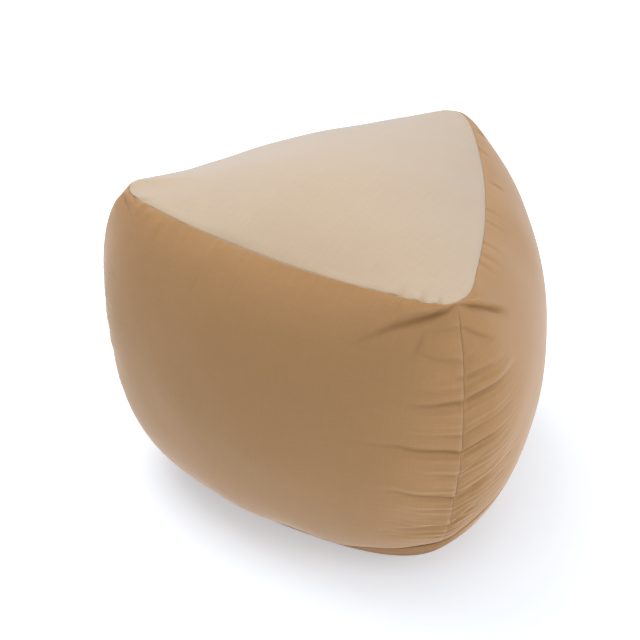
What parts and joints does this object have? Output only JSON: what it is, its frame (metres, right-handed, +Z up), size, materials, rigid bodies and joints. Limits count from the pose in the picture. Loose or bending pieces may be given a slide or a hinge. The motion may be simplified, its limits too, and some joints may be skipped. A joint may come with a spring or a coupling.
{
  "type": "triangular bead cushion",
  "caption": "Low triangular floor cushion filled with beads, with a crowned light knit top, bowed tan side panels, upright corner seams and a flat resting base.",
  "frame": {"origin": "middle of the flat base, on the surface the cushion rests on and under the axis that its three corners stand round", "axes": "+Z up; -Y towards the front side; +X to the right; the corners stand at -30, 90 and 210 degrees about +Z from +X"},
  "size_m": [0.6499, 0.6293, 0.51],
  "materials": {
    "top_knit": "matte fine knit with a soft nap",
    "side_weave": "matte fine weave with a peach-like nap",
    "seam_shade": "matte, seen only in the sewn seams"
  },
  "bodies": {
    "root": {"top_panel": "top_knit", "side_panel_front": "side_weave", "side_panel_right": "side_weave", "side_panel_back": "side_weave", "bottom_panel": "side_weave", "filled_body": "seam_shade"}
  },
  "joints": []
}
